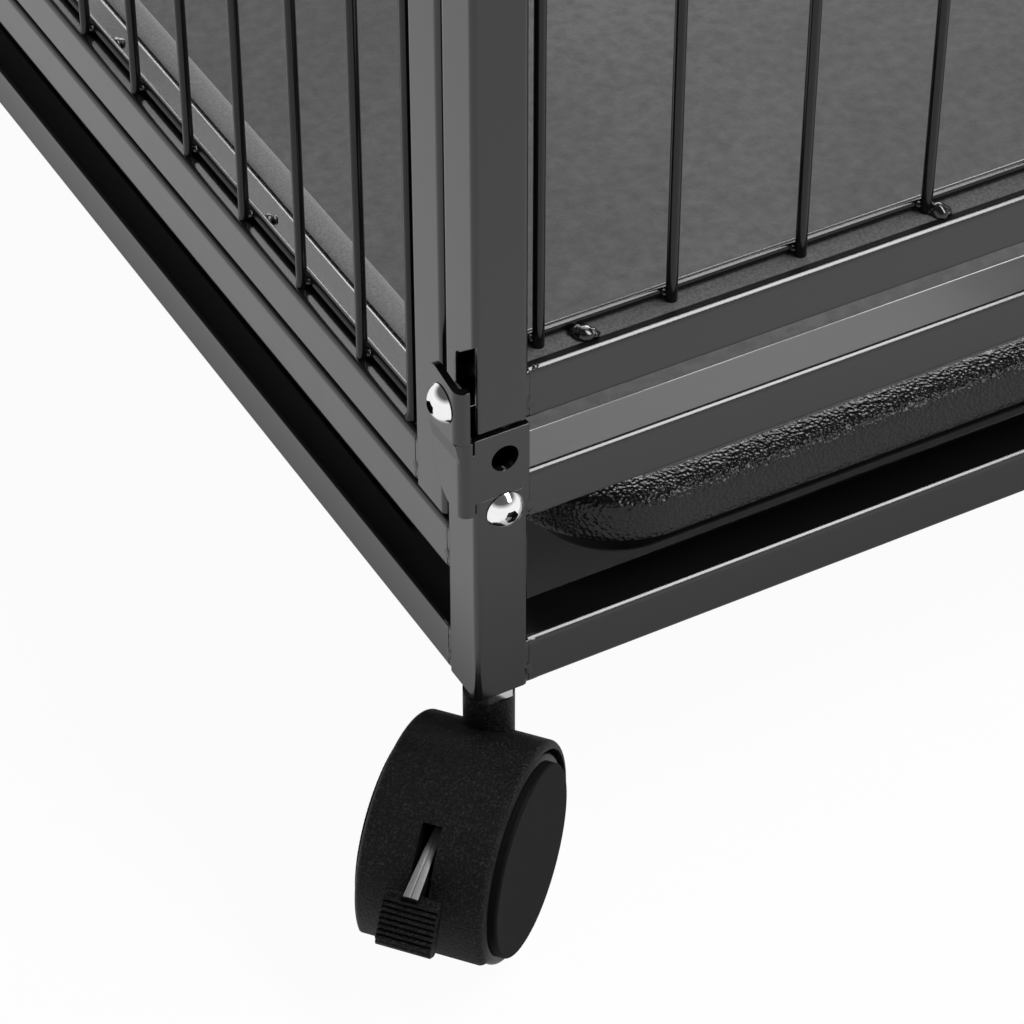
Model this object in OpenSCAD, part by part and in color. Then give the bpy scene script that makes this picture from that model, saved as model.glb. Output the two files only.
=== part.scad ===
/* [Crate] */
// Length over the two end panels
crate_l = 1080; // [1060:10:1200]
// Width over the two side panels
crate_w = 700; // [650:10:760]
// Height of the panels' tops above the underside of the base
panel_top = 648; // [600:4:656]
// Height of the underside of the base above the floor
base_z = 94; // [93:1:100]

/* [Tubes] */
// Side of the square tube
tube = 20; // [19:0.5:21]
// Corner radius of the square tube
tube_r = 2.2; // [1.8:0.1:3]
// Wall of the square tube
tube_wall = 1.2; // [1:0.1:1.5]

/* [Base] */
// Height of the upper long rails' underside above the base's underside
long_rail_z = 45; // [44:0.1:45]
// Height of the upper end rails' underside above the base's underside
end_rail_z = 73.7; // [72:0.1:75]
// Width of the strips that carry the tray
runner_w = 60; // [50:1:70]
// Thickness of the strips that carry the tray
runner_t = 2; // [1.5:0.5:3]
// Distance of those strips from the long side's outer face
runner_inset = 13; // [10:1:16]
// Distance of those strips' ends from the legs
runner_end = 50; // [30:1:80]

/* [Hinge brackets] */
// Thickness of the bracket's sheet
plate_t = 2.5; // [2:0.1:3]
// Height of the bracket plate's lower edge above the base's underside
plate_low = 88; // [87:0.5:90]
// Distance of the ear's outer face from the long side's outer face
ear_out = 6.4; // [6.2:0.1:7]
// Step by which the ear's lower part lies closer to the leg
ear_joggle = 1.6; // [1:0.1:1.8]
// Width of the ear
ear_w = 19.5; // [18:0.5:21]
// Height of the ear
ear_h = 55; // [52:0.5:58]
// Slope of the ear's top edge down towards its bend
ear_slope = 12; // [6:1:15]
// Distance of the joggle below the ear's top edge
joggle_drop = 24; // [22:0.5:27]
// Gap between the ear's short flange and the post
slit_w = 1.6; // [0.8:0.1:2]
// Radius of the ear's lower edge
ear_low_r = 17; // [15:0.5:18]
// Radius of the ear's upper corner
ear_top_r = 5; // [3:0.5:6]

/* [Pivots] */
// Height of the low side panel's pivot above the base's underside
side_pivot_z = 81.5; // [81:0.1:82]
// Spacing of the two pivot heights, which lets the folded side panels stack
fold_pitch = 21.6; // [21.5:0.1:23]
// Distance of the side panels' pivot from their outer face
pivot_inset = 11; // [10.8:0.1:11.4]
// Diameter of the pivot screw's shoulder
shoulder_d = 9.9; // [9:0.1:10]
// Diameter of the pivot screw's thread
thread_d = 8; // [6:0.5:8]
// Diameter of the pivot screw's head
head_d = 13.8; // [13:0.1:15]
// Height of the pivot screw's head
head_h = 4.4; // [3.5:0.1:5]
// Outside diameter of the threaded insert
insert_d = 11; // [10.5:0.1:11.5]

/* [Panels] */
// Gap between the low side panel and the rail under it
panel_gap = 2.3; // [2.2:0.1:4]
// Gap between a side panel's post and the end panel's post beside it
post_gap = 1.6; // [1.6:0.1:4]
// Chamfer on the inner bottom edge of a side post, which the fold needs
side_chamfer = 1.5; // [1.2:0.1:2.5]
// Distance of the end posts' ends above the underside of the end panels' lower rail
post_up = 1; // [0:0.1:1.5]
// Chamfer on the inner bottom edge of an end post, which the swing needs
post_chamfer = 5; // [5:0.1:6]
// Diameter of the bars and cross rods
wire_d = 4; // [3.5:0.1:5]
// Spacing aimed at for the side panels' bars
side_pitch = 45.3; // [42:0.1:56]
// Spacing aimed at for the end panels' bars
end_pitch = 49.5; // [46:0.1:58]
// Distance of the end panels' first bar from the post
end_bar_edge = 8.6; // [6:0.1:12]
// Depth of the side panels' bars behind the outer face
side_bar_depth = 4; // [3:0.1:6]
// Depth of the end panels' bars behind the outer face
end_bar_depth = 9.8; // [6:0.1:10]

/* [Door] */
// Width of the doorway
door_open = 400; // [380:10:420]
// Gap round the door
door_gap = 3; // [2:0.5:4]
// Gap under the door, which clears the pivot screws when the opened end panel hangs out
door_sill = 6; // [5.5:0.5:10]
// Distance of the door's hinges from its upper and lower edges
hinge_end = 75; // [60:1:100]
// Distance of the door's bolts from its upper and lower edges
bolt_end = 130; // [110:1:160]
// Distance of the hinge axes from the face that they stand on
hinge_out = 6; // [6:0.5:8]
// Diameter of the hinge barrels
barrel_d = 10; // [9:0.5:11]
// Diameter of the hinge pins
pin_d = 5; // [4:0.5:6]
// Length of one hinge knuckle
knuckle_l = 22; // [18:1:26]
// Diameter of the slide bolts
bolt_d = 8; // [7:0.5:9]
// Distance of a slide bolt's axis from the face that it lies on
bolt_out = 9; // [8.5:0.5:11]
// Travel of the slide bolts
bolt_travel = 22; // [20:1:24]

/* [Tray] */
// Distance of the tray's long edge from the side's outer face
tray_side = 34; // [28:1:40]
// Distance of the tray's end from the end's outer face
tray_end = 1.5; // [1:0.5:4]
// Height of the tray's rim above its underside
rim_h = 37.7; // [30:0.1:40]
// Radius of the rim's roll
roll_r = 9; // [7:0.5:10]
// Width of the flat beside the roll
rim_flat = 4; // [2:0.5:6]
// Run of the wall from the rim down to the floor
wall_run = 5; // [4:0.5:10]
// Outer radius of the tray's corners
tray_corner = 45; // [40:1:60]
// Wall of the tray
tray_t = 2.5; // [2:0.1:3.5]

/* [Casters] */
// Radius of the wheels
wheel_r = 38; // [37:0.5:38.5]
// Distance of the axle behind the stem
trail = 26; // [25:0.5:28]
// Outer radius of the hood
hood_r = 42; // [41.5:0.5:42.5]
// Width of the hood
hood_w = 47; // [44:0.5:48]
// Rounding of the hood's rims
hood_round = 2.4; // [1.5:0.1:2.4]
// Wall of the hood
hood_wall = 2.8; // [2.6:0.1:3]
// Height of the hood's lower edge above the floor
hood_low = 24; // [20:0.5:26]
// Thickness of the web between the wheels
web_t = 15; // [14:0.5:16]
// Diameter of the neck
neck_d = 18; // [17:0.5:20]
// Diameter of the stem
stem_d = 10; // [9:0.5:11]
// Distance of the hexagon's flats
hex_flats = 16.5; // [15:0.5:18]
// Diameter of the axle
axle_d = 8; // [6:0.5:9]
// Angle of the trailing side, out from the crate's width
heading = 40; // [30:1:60]

/* [Hidden] */
$fn = 48;

paint = "#26272a";
tray_black = "#1c1c1d";
steel = "#d4d6d8";
caster_black = "#1d1e20";
both = [-1, 1];

// Clearances
joint_gap = 0.05;
face_gap = 0.3;
fold_gap = 1.6;
eps = 1;

// Heights above the base's underside
high_pivot_z = side_pivot_z + fold_pitch;
low_side_z = long_rail_z + tube + panel_gap;
high_side_z = low_side_z + fold_pitch;
end_z = high_pivot_z + pivot_inset + fold_gap;
end_pivot_z = end_z + tube / 2;
leg_top = end_z - 4;
plate_top = end_z - 1.6;
lid_z = panel_top + face_gap;
tray_z = base_z + tube + runner_t + face_gap;

// Plan
half_w = crate_w / 2;
half_l = crate_l / 2;
side_half = half_l - tube - post_gap;
side_span = 2 * (side_half - tube);
side_count = round(side_span / side_pitch) - 1;
side_step = side_span / (side_count + 1);
side_bar_y = [for (i = [1 : side_count]) -side_span / 2 + i * side_step];
end_span = crate_w - 2 * tube - 2 * end_bar_edge;
end_gaps = round(end_span / end_pitch);
end_step = end_span / end_gaps;
end_bar_x = [for (i = [0 : end_gaps]) -end_span / 2 + i * end_step];
door_half = door_open / 2 - door_gap;
wing_from = door_open / 2 + tube;
wing_bar_x = [for (x = end_bar_x) if (abs(x) > wing_from + wire_d) x];
door_bar_x = [for (x = end_bar_x) if (abs(x) < door_half - tube - wire_d) x];

// Pivots and hinges
pivot_hole_d = shoulder_d + 2 * joint_gap;
head_gap = face_gap;
door_low = end_z + tube + door_sill;
door_high = panel_top - tube - door_gap;
door_hinge_x = door_open / 2 - door_gap / 2;
door_hinge_z = [door_low + hinge_end, door_high - hinge_end - 2 * knuckle_l];
bolt_z = [door_low + bolt_end, door_high - bolt_end];
guide_l = tube - 2;
handle_l = 30;
handle_at = guide_l + bolt_travel + 14;
bolt_l = handle_at + 12;
lid_hinge_x = [-190, 190];
lid_bolt_x = (wing_from + half_w - tube) / 2;
lid_axis_z = panel_top + face_gap / 2;

// Casters
axle_z = wheel_r;
well_r = hood_r - hood_wall;
neck_gap = 0.3;
hex_h = 5;
stem_low = axle_z + 8;
lever_w = 6;
lever_pin_d = 5;
lever_at = [20, 26];
lever_l = 28;
lever_h = 7;
lever_turn = -23;
pedal_w = 20;
pedal_l = 20;
pedal_turn = -58;
pedal_at = [hood_r + 3, 17.5];
rib_count = 6;
rib_h = 1.1;
cover_r = wheel_r - 3.3;
tread_edge = 2.5;
wheel_in = web_t / 2 + 0.7;
tread_out = hood_w / 2 - 0.5;
cover_out = tread_out + 3;

// Places a shape at one corner: x runs inward from the long side, y inward from the end, z up from the base
module at_corner(sx, sy) {
    mirror([sx < 0 ? 1 : 0, 0, 0])
        mirror([0, sy < 0 ? 1 : 0, 0])
            translate([half_w, half_l, base_z])
                rotate([0, 0, 180])
                    children();
}

module each_corner() {
    for (sx = both, sy = both)
        at_corner(sx, sy)
            children();
}

module rounded_square(s, r) {
    square([s, s - 2 * r], center = true);
    square([s - 2 * r, s], center = true);
    for (x = both, y = both)
        translate([x * (s / 2 - r), y * (s / 2 - r)])
            circle(r);
}

module tube_section() {
    difference() {
        rounded_square(tube, tube_r);
        rounded_square(tube - 2 * tube_wall, tube_r - tube_wall);
    }
}

// Tubes stand on the origin's side that is named, centred on the other two axes
module tube_up(length) {
    linear_extrude(length)
        tube_section();
}

module tube_x(length) {
    rotate([90, 0, 90])
        linear_extrude(length, center = true)
            tube_section();
}

module tube_y(length) {
    rotate([90, 0, 0])
        linear_extrude(length, center = true)
            tube_section();
}

module capped_post(length) {
    tube_up(length);
    translate([0, 0, length - tube_wall])
        linear_extrude(tube_wall)
            rounded_square(tube, tube_r);
}

// One tube of a mitred frame: outer length along x, its outer face towards -y
module mitred_tube(length) {
    intersection() {
        translate([0, tube / 2, 0])
            tube_x(length);
        translate([0, 0, -tube])
            linear_extrude(2 * tube)
                polygon([
                    [-length / 2 + joint_gap, 0],
                    [length / 2 - joint_gap, 0],
                    [length / 2 - tube - joint_gap, tube],
                    [-length / 2 + tube + joint_gap, tube]
                ]);
    }
}

module mitred_frame(w, l) {
    for (s = [0, 180])
        rotate([0, 0, s])
            translate([0, -l / 2, 0])
                mitred_tube(w);
    for (s = [90, 270])
        rotate([0, 0, s])
            translate([0, -w / 2, 0])
                mitred_tube(l);
}

// Welded grid: bars along z at each x of xs, rods along x at each z of zs, rods behind the bars towards +y
module wire_grid(xs, z_from, z_to, zs, x_from, x_to) {
    for (x = xs)
        translate([x, 0, z_from])
            cylinder(d = wire_d, h = z_to - z_from);
    for (z = zs)
        translate([x_from, wire_d - face_gap, z])
            rotate([0, 90, 0])
                cylinder(d = wire_d, h = x_to - x_from);
}

function rod_rows(z_from, z_to) = [
    z_from + wire_d / 2 + joint_gap,
    (z_from + z_to) / 2,
    z_to - wire_d / 2 - joint_gap
];

// Base
module legs() {
    color(paint)
        each_corner()
            leg();
}

module leg() {
    difference() {
        translate([tube / 2, tube / 2, 0])
            tube_up(leg_top);
        translate([-eps, -eps, plate_low])
            cube([tube + 2 * eps, plate_t + eps, leg_top]);
        for (z = [side_pivot_z, high_pivot_z])
            side_pivot_bore(z);
    }
}

module side_pivot_bore(z) {
    translate([pivot_inset, -eps, z])
        rotate([-90, 0, 0])
            cylinder(d = pivot_hole_d, h = tube + 2 * eps);
}

module end_pivot_bore() {
    translate([-ear_out - eps, tube / 2, end_pivot_z])
        rotate([0, 90, 0])
            cylinder(d = pivot_hole_d, h = plate_t + ear_joggle + 2 * eps);
}

module hinge_brackets() {
    color(paint)
        each_corner()
            hinge_bracket();
}

module hinge_bracket() {
    difference() {
        union() {
            translate([0, 0, plate_low])
                cube([tube, plate_t, plate_top - plate_low]);
            intersection() {
                ear_sheet();
                ear_outline();
            }
        }
        side_pivot_bore(high_pivot_z);
        end_pivot_bore();
    }
}

ear_top = end_pivot_z + 12;
ear_low = ear_top - ear_h;
joggle_z = ear_top - joggle_drop;
joggle_h = 8;
slit_z = plate_top - 5.4;

// Sheet bent round the corner, with its joggle and the slit that frees the upper flange
module ear_sheet() {
    translate([0, 0, joggle_z])
        linear_extrude(ear_top - joggle_z)
            bent_section(ear_out, slit_w);
    translate([0, 0, slit_z])
        linear_extrude(joggle_z - slit_z)
            bent_section(ear_out - ear_joggle, slit_w / 2);
    translate([0, 0, ear_low])
        linear_extrude(slit_z - ear_low)
            bent_section(ear_out - ear_joggle, 0);
    translate([0, ear_w, 0])
        rotate([90, 0, 0])
            linear_extrude(ear_w - plate_t / 2)
                polygon([
                    [-ear_out, joggle_z],
                    [-ear_out + plate_t, joggle_z],
                    [-ear_out + ear_joggle + plate_t, joggle_z - joggle_h],
                    [-ear_out + ear_joggle, joggle_z - joggle_h]
                ]);
}

module bent_section(out, edge) {
    bend_r = plate_t + 1;
    translate([-out + bend_r, 0])
        square([out - bend_r - edge, plate_t]);
    translate([-out, bend_r])
        square([plate_t, ear_w - bend_r]);
    translate([-out + bend_r, bend_r])
        difference() {
            circle(bend_r);
            circle(bend_r - plate_t);
            translate([-2 * bend_r, 0])
                square(4 * bend_r);
            translate([0, -2 * bend_r])
                square(4 * bend_r);
        }
}

module ear_outline() {
    round_at = [ear_w - ear_top_r * (1 + sin(ear_slope)), ear_top - ear_top_r * (1 - cos(ear_slope))];
    translate([-2 * ear_out, 0, 0])
        rotate([90, 0, 90])
            linear_extrude(2 * ear_out) {
                polygon([
                    [0, ear_low + ear_low_r],
                    [ear_w, ear_low + ear_low_r],
                    [ear_w, ear_top - ear_top_r],
                    round_at,
                    [0, round_at[1] - round_at[0] * tan(ear_slope)]
                ]);
                translate([ear_w - ear_top_r, ear_top - ear_top_r])
                    circle(ear_top_r);
                intersection() {
                    translate([ear_w - ear_low_r, ear_low + ear_low_r])
                        circle(ear_low_r);
                    translate([0, ear_low - eps])
                        square([ear_w, ear_low_r + eps]);
                }
            }
}

long_rail_l = crate_l - 2 * tube - 2 * joint_gap;
end_rail_l = crate_w - 2 * tube - 2 * joint_gap;

module rail_pairs(long_z, end_z_low) {
    for (s = both) {
        translate([s * (half_w - tube / 2), 0, base_z + long_z + tube / 2])
            tube_y(long_rail_l);
        translate([0, s * (half_l - tube / 2), base_z + end_z_low + tube / 2])
            tube_x(end_rail_l);
    }
}

module lower_rails() {
    color(paint)
        rail_pairs(0, 0);
}

module upper_rails() {
    color(paint)
        rail_pairs(long_rail_z, end_rail_z);
}

module tray_runners() {
    color(paint)
        for (s = both)
            translate([s * (half_w - runner_inset - runner_w / 2), 0, base_z + tube + runner_t / 2])
                cube([runner_w, long_rail_l - 2 * runner_end, runner_t], center = true);
}

module caster_stems() {
    color(steel)
        each_corner()
            translate([tube / 2, tube / 2, 0]) {
                translate([0, 0, -hex_h])
                    cylinder(d = hex_flats / cos(30), h = hex_h, $fn = 6);
                translate([0, 0, stem_low - base_z])
                    cylinder(d = stem_d, h = base_z - stem_low + tube);
            }
}

module stem_sockets() {
    plug = tube - 2 * tube_wall - 2 * joint_gap;
    color(steel)
        each_corner()
            translate([tube / 2, tube / 2, joint_gap])
                linear_extrude(tube - 2 * joint_gap)
                    difference() {
                        rounded_square(plug, tube_r - tube_wall);
                        circle(d = stem_d + 2 * joint_gap);
                    }
}

// Tray: one moulding, drawn as its floor, the four straight runs of its rim and its four corners
tray_x = half_w - tray_side;
tray_y = half_l - tray_end;
rim_in = roll_r + rim_flat;
wall_in = rim_in + wall_run;
floor_in = wall_in + joint_gap;

module tray() {
    color(tray_black)
        translate([0, 0, tray_z])
            linear_extrude(tray_t) {
                square([2 * (tray_x - tray_corner), 2 * (tray_y - floor_in)], center = true);
                square([2 * (tray_x - floor_in), 2 * (tray_y - tray_corner)], center = true);
                for (x = both, y = both)
                    translate([x * (tray_x - tray_corner), y * (tray_y - tray_corner)])
                        circle(tray_corner - floor_in);
            }
}

module tray_rims() {
    color(tray_black)
        translate([0, 0, tray_z])
            for (s = [0, 180])
                rotate([0, 0, s]) {
                    translate([tray_x, 0, 0])
                        rim_run(2 * (tray_y - tray_corner));
                    rotate([0, 0, 90])
                        translate([tray_y, 0, 0])
                            rim_run(2 * (tray_x - tray_corner));
                }
}

module tray_corners() {
    color(tray_black)
        for (sx = both, sy = both)
            mirror([sx < 0 ? 1 : 0, 0, 0])
                mirror([0, sy < 0 ? 1 : 0, 0])
                    translate([tray_x - tray_corner, tray_y - tray_corner, tray_z])
                        rotate_extrude(angle = 90)
                            translate([tray_corner, 0])
                                mirror([1, 0])
                                    rim_profile();
}

module rim_run(length) {
    rotate([90, 0, 0])
        linear_extrude(length, center = true)
            mirror([1, 0])
                rim_profile();
}

// Section of the rim: x runs inward from the outer edge, y up from the underside
module rim_profile() {
    lip = 0.9 * roll_r;
    translate([roll_r, rim_h - roll_r])
        difference() {
            circle(roll_r);
            circle(roll_r - tray_t);
            translate([0, -2 * roll_r])
                square(4 * roll_r);
            translate([-2 * roll_r, -2 * roll_r])
                square([4 * roll_r, 2 * roll_r - lip]);
        }
    translate([roll_r, rim_h - tray_t])
        square([rim_in - roll_r, tray_t]);
    polygon([
        [rim_in - tray_t, rim_h - tray_t],
        [rim_in - tray_t, rim_h],
        [rim_in, rim_h],
        [wall_in, tray_t],
        [wall_in, 0],
        [wall_in - tray_t, 0]
    ]);
}

// Side panels
module side_frame(s, low_z) {
    length = panel_top - low_z;
    chamfer_cut = sqrt(2) * side_chamfer;
    color(paint)
        for (e = both) {
            translate([s * (half_w - tube / 2), e * (side_half - tube / 2), base_z + low_z])
                difference() {
                    capped_post(length);
                    translate([-s * tube / 2, 0, 0])
                        rotate([0, 45, 0])
                            cube([chamfer_cut, tube + 2 * eps, chamfer_cut], center = true);
                    translate([s * (tube / 2 - pivot_inset), 0, side_pivot_z - low_side_z])
                        rotate([e * -90, 0, 0])
                            cylinder(d = insert_d, h = tube);
                }
            translate([s * (half_w - tube / 2), 0, base_z + (e < 0 ? low_z : panel_top - tube) + tube / 2])
                tube_y(side_span - 2 * joint_gap);
        }
}

module side_bars(s, low_z) {
    z_from = low_z + tube + joint_gap;
    z_to = panel_top - tube - joint_gap;
    color(paint)
        translate([s * (half_w - side_bar_depth), 0, base_z])
            mirror([s < 0 ? 1 : 0, 0, 0])
                rotate([0, 0, 90])
                    wire_grid(side_bar_y, z_from, z_to, rod_rows(z_from, z_to),
                        -side_span / 2 + joint_gap, side_span / 2 - joint_gap);
}

// Shoulder screw along +z: the head's underside is at 0, the thread starts at the shoulder's end
module pivot_screw(shoulder_l, thread_l) {
    socket_d = 5;
    dome_r = (pow(head_d / 2, 2) + pow(head_h, 2)) / (2 * head_h);
    difference() {
        union() {
            intersection() {
                translate([0, 0, dome_r - head_h])
                    sphere(dome_r);
                translate([0, 0, -head_h])
                    cylinder(d = head_d, h = head_h);
            }
            cylinder(d = shoulder_d, h = shoulder_l);
            cylinder(d = thread_d, h = shoulder_l + thread_l);
        }
        translate([0, 0, -head_h - eps])
            cylinder(d = socket_d, h = head_h / 2 + eps, $fn = 6);
    }
}

// Threaded insert along +z: its flange ends at 0 and its body runs on
module pivot_insert(flange_t, length) {
    difference() {
        union() {
            translate([0, 0, -flange_t])
                cylinder(d = insert_d + 2, h = flange_t);
            cylinder(d = insert_d - 2 * joint_gap, h = length);
        }
        translate([0, 0, -flange_t - eps])
            cylinder(d = thread_d, h = length + flange_t + 2 * eps);
    }
}

insert_flange = 0.9;
insert_l = 12;

module side_screws(s, z) {
    shoulder_l = head_gap + tube + post_gap - insert_flange;
    color(steel)
        for (e = both)
            at_corner(s, e)
                translate([pivot_inset, -head_gap, z])
                    rotate([-90, 0, 0])
                        pivot_screw(shoulder_l, insert_flange + insert_l);
}

module side_inserts(s, z) {
    color(steel)
        for (e = both)
            at_corner(s, e)
                translate([pivot_inset, tube + post_gap, z])
                    rotate([-90, 0, 0])
                        pivot_insert(insert_flange, insert_l);
}

// End panels
notch_w = 12.2;
notch_r = 2.5;
notch_low = 28.3;
notch_high = 36.3;

// Cut in the outer wall of an end post that frees the ear: x runs inward from the end, y up from the rail
module notch_profile() {
    polygon([
        [-eps, -eps],
        [notch_w, -eps],
        [notch_w, notch_low - notch_r],
        [notch_w - notch_r, notch_low],
        [0, notch_high],
        [-eps, notch_high]
    ]);
    translate([notch_w - notch_r, notch_low - notch_r])
        circle(notch_r);
}

module end_post(s, e) {
    post_z = end_z + post_up;
    at_corner(s, e)
        difference() {
            translate([tube / 2, tube / 2, post_z])
                capped_post(panel_top - post_z);
            translate([-eps, tube, end_z - eps])
                rotate([90, 0, 90])
                    linear_extrude(tube + 2 * eps)
                        polygon([[-post_chamfer - eps, 0], [eps, 0], [eps, post_chamfer + 2 * eps]]);
            translate([-eps, 0, end_z])
                rotate([90, 0, 90])
                    linear_extrude(tube_wall + eps + joint_gap)
                        notch_profile();
            translate([-eps, tube / 2, end_pivot_z])
                rotate([0, 90, 0])
                    cylinder(d = pivot_hole_d, h = tube_wall + 2 * eps);
            translate([tube / 2, tube / 2, end_pivot_z])
                rotate([0, 90, 0])
                    cylinder(d = insert_d, h = tube);
        }
}

module end_frame(e) {
    for (s = both) {
        end_post(s, e);
        translate([0, e * (half_l - tube / 2), base_z + (s < 0 ? end_z : panel_top - tube) + tube / 2])
            tube_x(end_rail_l);
    }
}

module end_screws(e) {
    end_shoulder_l = ear_out + head_gap + tube - tube_wall - insert_flange;
    color(steel)
        for (s = both)
            at_corner(s, e)
                translate([-ear_out - head_gap, tube / 2, end_pivot_z])
                    rotate([0, 90, 0])
                        pivot_screw(end_shoulder_l, insert_flange + insert_l);
}

module end_inserts(e) {
    color(steel)
        for (s = both)
            at_corner(s, e)
                translate([tube - tube_wall, tube / 2, end_pivot_z])
                    rotate([0, 90, 0])
                        pivot_insert(insert_flange, insert_l);
}

// Grid of an end panel; e is the end, xs its bars, and the rods run between the two x values
module end_grid(e, xs, x_from, x_to) {
    z_from = end_z + tube + joint_gap;
    z_to = panel_top - tube - joint_gap;
    translate([0, e * (half_l - end_bar_depth), base_z])
        mirror([0, e > 0 ? 1 : 0, 0])
            wire_grid(xs, z_from, z_to, rod_rows(z_from, z_to), x_from + joint_gap, x_to - joint_gap);
}

module rear_frame() {
    color(paint)
        end_frame(1);
}

module rear_bars() {
    color(paint)
        end_grid(1, end_bar_x, -half_w + tube, half_w - tube);
}

module front_frame() {
    color(paint) {
        end_frame(-1);
        for (s = both)
            translate([s * (door_open / 2 + tube / 2), -half_l + tube / 2, base_z + end_z + tube + joint_gap])
                tube_up(panel_top - end_z - 2 * tube - 2 * joint_gap);
    }
}

module front_bars() {
    color(paint)
        for (s = both)
            mirror([s < 0 ? 1 : 0, 0, 0])
                end_grid(-1, [for (x = wing_bar_x) if (x > 0) x], wing_from, half_w - tube);
}

// Saddle that holds a round bar: its foot stands on z = 0, the bar runs along x, centred
module saddle(outer_d, bore_d, out, length) {
    rotate([90, 0, 90])
        linear_extrude(length, center = true)
            difference() {
                union() {
                    translate([0, out])
                        circle(d = outer_d);
                    translate([-outer_d / 2, 0])
                        square([outer_d, out]);
                }
                translate([0, out])
                    circle(d = bore_d);
            }
}

// Hinge knuckle with a tab: the barrel runs up along z from 0, its axis is at the origin,
// and the tab reaches the face at y = hinge_out on the side of +x
module knuckle(bore_d) {
    tab_w = 14;
    linear_extrude(knuckle_l)
        difference() {
            union() {
                circle(d = barrel_d);
                translate([0, hinge_out - 2 * tube_wall])
                    square([tab_w, 2 * tube_wall]);
                square([barrel_d / 2, hinge_out]);
            }
            circle(d = bore_d);
        }
}

module hinge_pin(length) {
    cylinder(d = pin_d, h = length);
    translate([0, 0, length])
        cylinder(d = barrel_d - 2, h = 2);
}

module at_door_hinges() {
    for (z = door_hinge_z)
        translate([door_hinge_x, -half_l - hinge_out, base_z + z])
            children();
}

module door_hinge_brackets() {
    color(paint)
        at_door_hinges()
            knuckle(pin_d);
}

module door_hinge_knuckles() {
    color(paint)
        at_door_hinges()
            translate([0, 0, knuckle_l + face_gap])
                mirror([1, 0, 0])
                    knuckle(pin_d + 2 * joint_gap);
}

module door_hinge_pins() {
    color(steel)
        at_door_hinges()
            hinge_pin(2 * knuckle_l + 2 * face_gap);
}

module door_frame() {
    h = door_high - door_low;
    color(paint)
        translate([0, -half_l + tube / 2, base_z + door_low + h / 2])
            rotate([90, 0, 0])
                mitred_frame(2 * door_half, h);
}

module door_bars() {
    z_from = door_low + tube + joint_gap;
    z_to = door_high - tube - joint_gap;
    color(paint)
        translate([0, -half_l + end_bar_depth, base_z])
            wire_grid(door_bar_x, z_from, z_to, rod_rows(z_from, z_to),
                -door_half + tube + joint_gap, door_half - tube - joint_gap);
}

saddle_d = bolt_d + 6;

// Children stand on the front face at the height z: x to the right, z out of the face
module on_front(x, z) {
    translate([x, -half_l, base_z + z])
        rotate([90, 0, 0])
            children();
}

module door_bolt_guides() {
    color(paint)
        for (z = bolt_z)
            on_front(-door_half + tube / 2, z)
                saddle(saddle_d, bolt_d + 2 * joint_gap, bolt_out, guide_l);
}

module bolt_keepers() {
    color(paint)
        for (z = bolt_z)
            on_front(-door_open / 2 - tube / 2, z)
                saddle(saddle_d, bolt_d + 1, bolt_out, guide_l);
}

// Slide bolt drawn back: its tip is at x = 0, it runs along +x and its handle hangs towards -y
module slide_bolt() {
    handle_d = bolt_d - 1;
    rotate([0, 90, 0])
        cylinder(d = bolt_d, h = bolt_l);
    translate([handle_at, 0, 0])
        rotate([90, 0, 0])
            cylinder(d = handle_d, h = handle_l);
    translate([handle_at, -handle_l, 0])
        sphere(d = bolt_d + 2);
}

module door_bolt(z) {
    color(steel)
        on_front(-door_half + 1, z)
            translate([0, 0, bolt_out])
                slide_bolt();
}

// Lid
module lid_frame() {
    color(paint)
        translate([0, 0, base_z + lid_z + tube / 2])
            mitred_frame(crate_w, crate_l);
}

lid_span = crate_l - 2 * tube;
lid_count = round(lid_span / side_pitch) - 1;
lid_bar_y = [for (i = [1 : lid_count]) -lid_span / 2 + i * lid_span / (lid_count + 1)];

module lid_bars() {
    reach = half_w - tube - joint_gap;
    color(paint)
        translate([0, 0, base_z + lid_z + tube - end_bar_depth]) {
            for (y = lid_bar_y)
                translate([0, y, 0])
                    rotate([0, 90, 0])
                        cylinder(d = wire_d, h = 2 * reach, center = true);
            for (x = [-reach + wire_d / 2, 0, reach - wire_d / 2])
                translate([x, 0, face_gap - wire_d])
                    rotate([90, 0, 0])
                        cylinder(d = wire_d, h = lid_span - 2 * joint_gap, center = true);
        }
}

module at_lid_hinges() {
    for (x = lid_hinge_x)
        translate([x, half_l + hinge_out, base_z + lid_axis_z])
            rotate([0, 90, 0])
                rotate([0, 0, 180])
                    children();
}

module lid_hinge_brackets() {
    color(paint)
        at_lid_hinges()
            mirror([1, 0, 0])
                knuckle(pin_d);
}

module lid_hinge_knuckles() {
    color(paint)
        at_lid_hinges()
            translate([0, 0, knuckle_l + face_gap])
                knuckle(pin_d + 2 * joint_gap);
}

module lid_hinge_pins() {
    color(steel)
        at_lid_hinges()
            hinge_pin(2 * knuckle_l + 2 * face_gap);
}

module lid_bolt_guides() {
    color(paint)
        for (s = both)
            on_front(s * lid_bolt_x, panel_top - tube / 2)
                rotate([0, 0, 90])
                    saddle(saddle_d, bolt_d + 2 * joint_gap, bolt_out, guide_l);
}

module lid_bolt_keepers() {
    color(paint)
        for (s = both)
            on_front(s * lid_bolt_x, lid_z + tube / 2)
                rotate([0, 0, 90])
                    saddle(saddle_d, bolt_d + 1, bolt_out, guide_l);
}

module lid_bolt(s) {
    color(steel)
        on_front(s * lid_bolt_x, panel_top - 1)
            translate([0, 0, bolt_out])
                mirror([s > 0 ? 1 : 0, 0, 0])
                    rotate([0, 0, -90])
                        slide_bolt();
}

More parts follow.
